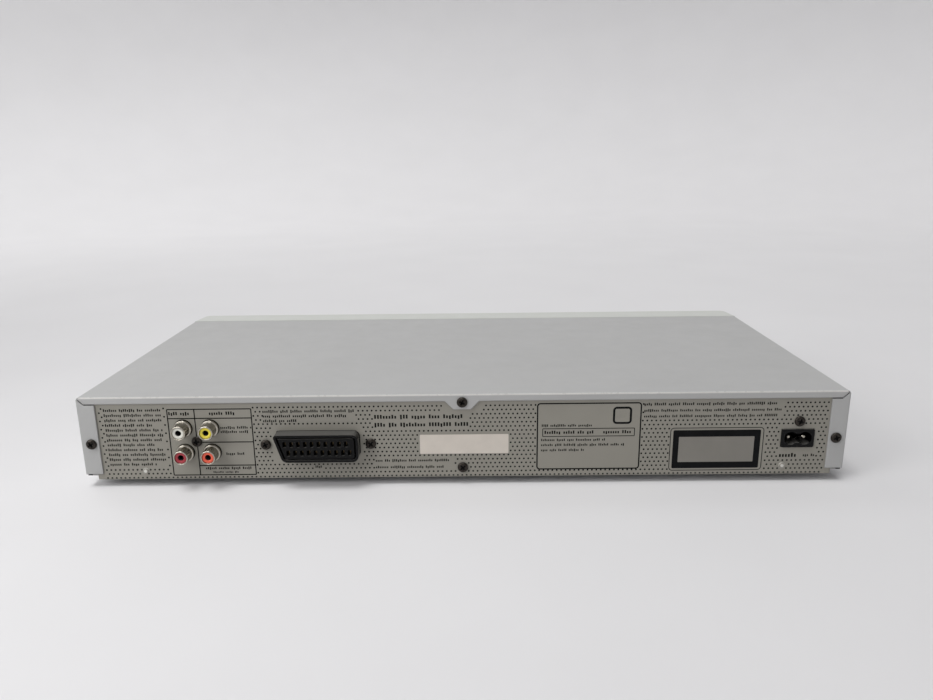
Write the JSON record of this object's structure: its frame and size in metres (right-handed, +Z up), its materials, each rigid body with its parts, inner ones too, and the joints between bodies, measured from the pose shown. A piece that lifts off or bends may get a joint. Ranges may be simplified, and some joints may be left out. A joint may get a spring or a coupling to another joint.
{
  "type": "dvd player",
  "caption": "Slim disc player with a motor-driven disc tray, front keys, and a rear panel of phono, 21-way and mains sockets.",
  "frame": {"origin": "centre of the overall box on the ground under the feet", "axes": "+Z up, +X to the right seen from the front, the front panel faces -Y and the sockets face +Y"},
  "size_m": [0.43, 0.2218, 0.054],
  "materials": {
    "cover_paint": "fine grey paint, satin",
    "panel_paint": "warm grey paint, matte, with printed dots",
    "zinc_sheet": "zinc-plated sheet",
    "fascia_plastic": "silver moulding, satin",
    "key_plastic": "silver key caps",
    "window": "smoked clear window",
    "black_plastic": "black moulding",
    "dark_screw": "blackened steel",
    "rubber": "matte",
    "nickel": "nickel",
    "steel": "plain steel",
    "gold_contact": "plated contacts",
    "white_plastic": "white",
    "red_plastic": "dark red",
    "yellow_plastic": "yellow",
    "orange_plastic": "orange red",
    "board_green": "green board with lacquer",
    "board_tan": "tan paper board",
    "chip_black": "chip epoxy",
    "sink_alloy": "extruded",
    "can_blue": "capacitor sleeve",
    "coil_core": "ferrite core with yellow tape",
    "fuse_glass": "glass tube",
    "cable_white": "flat cable",
    "loader_grey": "dark grey moulding",
    "tray_plastic": "dark tray moulding",
    "gear_white": "natural acetal",
    "magnet": "sintered magnet",
    "lens": "coated lens in its holder"
  },
  "bodies": {
    "player": {"board_plugs": "white_plastic", "bottom_chassis": "zinc_sheet", "capacitors": "can_blue", "clamp_bridge": "zinc_sheet", "cover_screws": "dark_screw", "display_module": "black_plastic", "display_window": "window", "drive_belt": "rubber", "feet": "rubber", "front_boards": "board_green", "front_panel": "fascia_plastic", "heat_sinks": "sink_alloy", "inlet_pins": "nickel", "inner_cables": "cable_white", "inner_screws": "steel", "jack_block": "black_plastic", "jack_insert_orange": "orange_plastic", "jack_insert_red": "red_plastic", "jack_insert_white": "white_plastic", "jack_insert_yellow": "yellow_plastic", "jack_shells": "nickel", "key_switches": "black_plastic", "loader_frame": "loader_grey", "loading_motor": "steel", "main_board": "board_green", "main_chips": "chip_black", "mains_choke": "coil_core", "mains_fuse": "fuse_glass", "mains_inlet": "black_plastic", "panel_screws": "dark_screw", "power_board": "board_tan", "rear_panel": "panel_paint", "scart_contacts": "gold_contact", "scart_socket": "black_plastic", "top_cover": "cover_paint", "transformer": "coil_core"},
    "tray": {"disc_tray": "tray_plastic", "tray_door": "fascia_plastic"},
    "drive_gear": {"drive_gear": "gear_white"},
    "pulley_gear": {"pulley_gear": "gear_white"},
    "motor_pulley": {"motor_pulley": "gear_white"},
    "cam_slider": {"cam_slider": "gear_white"},
    "traverse": {"lift_frame": "loader_grey", "traverse_plate": "zinc_sheet", "rubber_dampers": "rubber", "spindle_motor": "steel", "guide_rails": "steel", "feed_motor": "steel"},
    "turntable": {"turntable": "loader_grey"},
    "clamper": {"clamper": "gear_white", "clamper_magnet": "magnet"},
    "feed_screw": {"feed_screw": "steel"},
    "pickup": {"pickup_sled": "sink_alloy"},
    "lens": {"objective_lens": "lens"},
    "power_key": {"power_key": "key_plastic"},
    "open_close_key": {"open_close_key": "key_plastic"},
    "play_key": {"play_key": "key_plastic"},
    "stop_key": {"stop_key": "key_plastic"},
    "skip_back_key": {"skip_back_key": "key_plastic"},
    "skip_forward_key": {"skip_forward_key": "key_plastic"}
  },
  "joints": [
    {"name": "tray_slide", "type": "slide", "parent": "player", "child": "tray", "axis": [0, -1, 0], "range_m": [0, 0.132]},
    {"name": "drive_gear_spin", "type": "hinge", "parent": "player", "child": "drive_gear", "pos_m": [-0.088, -0.0813, 0.02255], "axis": [0, 0, 1], "range_deg": [0, 840.84]},
    {"name": "pulley_gear_spin", "type": "hinge", "parent": "player", "child": "pulley_gear", "pos_m": [-0.06915, -0.09009, 0.02255], "axis": [0, 0, 1], "range_deg": [-2801.63, 0]},
    {"name": "motor_pulley_spin", "type": "hinge", "parent": "player", "child": "motor_pulley", "pos_m": [-0.02815, -0.09009, 0.0193], "axis": [0, 0, 1], "range_deg": [-8497.25, 0]},
    {"name": "traverse_lift", "type": "hinge", "parent": "player", "child": "traverse", "pos_m": [-0.04, 0.0407, 0.02], "axis": [1, 0, 0], "range_deg": [-5.5, 0]},
    {"name": "cam_slide", "type": "slide", "parent": "player", "child": "cam_slider", "axis": [1, 0, 0], "range_m": [-0.01601, 0]},
    {"name": "spindle_spin", "type": "hinge", "parent": "traverse", "child": "turntable", "pos_m": [-0.04, -0.04291, 0.01195], "axis": [0, -0.0958, 0.9954], "continuous": true},
    {"name": "clamper_spin", "type": "hinge", "parent": "player", "child": "clamper", "pos_m": [-0.04, -0.0433, 0.0346], "axis": [0, 0, 1], "continuous": true},
    {"name": "pickup_feed", "type": "slide", "parent": "traverse", "child": "pickup", "axis": [0, 0.9954, 0.0958], "range_m": [0, 0.034]},
    {"name": "feed_screw_spin", "type": "hinge", "parent": "traverse", "child": "feed_screw", "pos_m": [-0.07, 0.00044, 0.02074], "axis": [0, 0.9954, 0.0958], "range_deg": [0, 4080.5]},
    {"name": "lens_focus", "type": "slide", "parent": "pickup", "child": "lens", "axis": [0, -0.0958, 0.9954], "range_m": [-0.0005, 0.0005], "stiffness_N_per_m": 60},
    {"name": "power_press", "type": "slide", "parent": "player", "child": "power_key", "axis": [0, 1, 0], "range_m": [0, 0.0007], "stiffness_N_per_m": 900},
    {"name": "open_close_press", "type": "slide", "parent": "player", "child": "open_close_key", "axis": [0, 1, 0], "range_m": [0, 0.0007], "stiffness_N_per_m": 900},
    {"name": "play_press", "type": "slide", "parent": "player", "child": "play_key", "axis": [0, 1, 0], "range_m": [0, 0.0007], "stiffness_N_per_m": 900},
    {"name": "stop_press", "type": "slide", "parent": "player", "child": "stop_key", "axis": [0, 1, 0], "range_m": [0, 0.0007], "stiffness_N_per_m": 900},
    {"name": "skip_back_press", "type": "slide", "parent": "player", "child": "skip_back_key", "axis": [0, 1, 0], "range_m": [0, 0.0007], "stiffness_N_per_m": 900},
    {"name": "skip_forward_press", "type": "slide", "parent": "player", "child": "skip_forward_key", "axis": [0, 1, 0], "range_m": [0, 0.0007], "stiffness_N_per_m": 900}
  ],
  "couplings": [
    {"joint": "drive_gear_spin", "follows": "tray_slide", "rad_per_m": 111.11},
    {"joint": "pulley_gear_spin", "follows": "tray_slide", "rad_per_m": -370.37},
    {"joint": "motor_pulley_spin", "follows": "tray_slide", "rad_per_m": -1123.5},
    {"joint": "cam_slide", "follows": "traverse_lift", "m_per_rad": 0.16668},
    {"joint": "feed_screw_spin", "follows": "pickup_feed", "rad_per_m": 2094.4}
  ]
}
